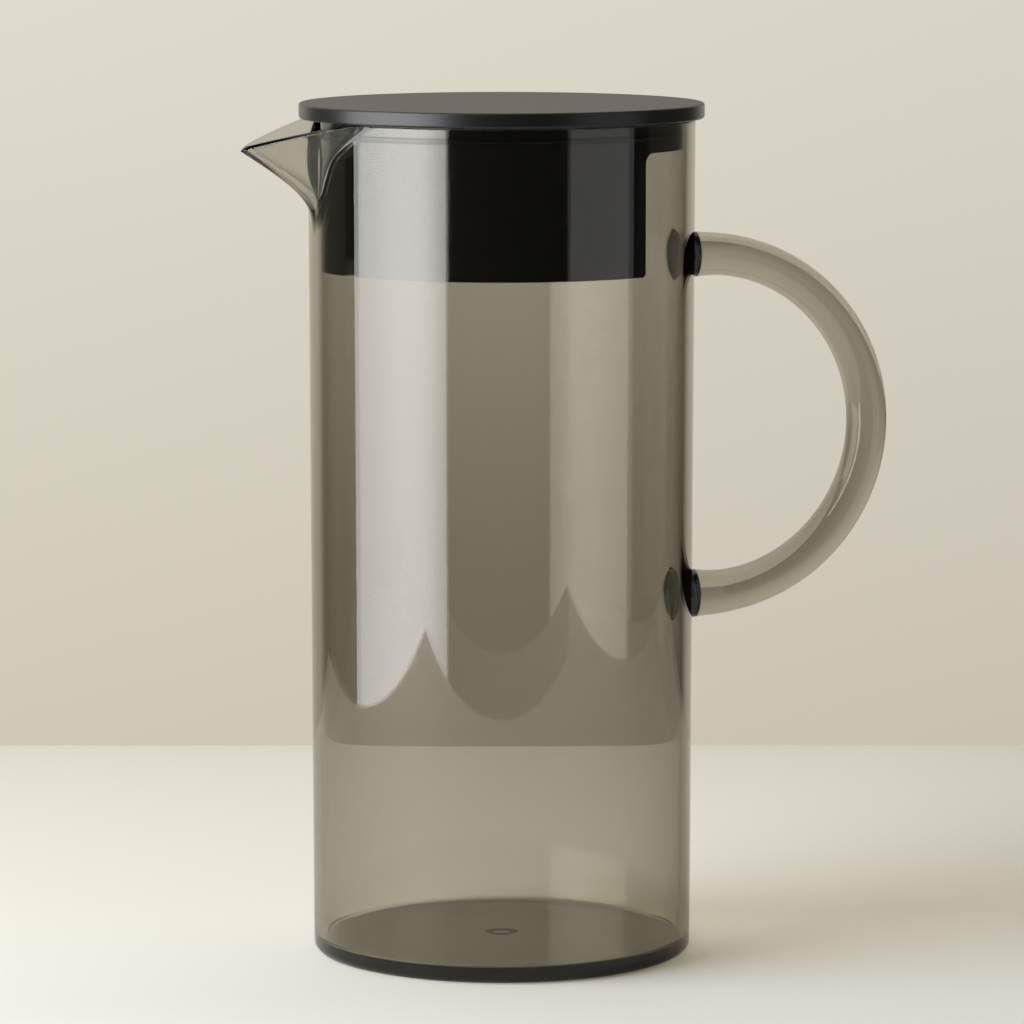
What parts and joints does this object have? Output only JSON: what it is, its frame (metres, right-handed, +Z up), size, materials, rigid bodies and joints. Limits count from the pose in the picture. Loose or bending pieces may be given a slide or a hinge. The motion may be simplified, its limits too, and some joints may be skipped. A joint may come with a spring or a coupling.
{
  "type": "water jug with lid",
  "caption": "Tall round smoke-tinted water jug with a pouring lip, a round half-ring handle and a flat turning lid whose slotted insert closes, strains or frees the pour.",
  "frame": {"origin": "centre of the jug's base, on the surface it stands on", "axes": "+Z up along the jug's axis, +X towards the handle, so the pouring lip points along -X"},
  "size_m": [0.1881, 0.113, 0.2389],
  "materials": {
    "jug": "clear smoke-tinted moulded plastic, polished",
    "handle": "clear smoke-tinted solid rod, polished",
    "lid_plate": "fine-grained matt moulded plastic",
    "lid_insert": "smooth glossy moulded plastic",
    "grip_ring": "soft satin silicone"
  },
  "bodies": {
    "jug": {"jug_body": "jug", "handle": "handle"},
    "ring": {"grip_ring": "grip_ring"},
    "lid": {"lid_plate": "lid_plate", "lid_insert": "lid_insert"}
  },
  "joints": [
    {"name": "lid_lift", "type": "slide", "parent": "jug", "child": "ring", "axis": [0, 0, 1], "range_m": [0, 0.05]},
    {"name": "lid_turn", "type": "hinge", "parent": "ring", "child": "lid", "pos_m": [0, 0, 0.2308], "axis": [0, 0, 1], "continuous": true}
  ]
}
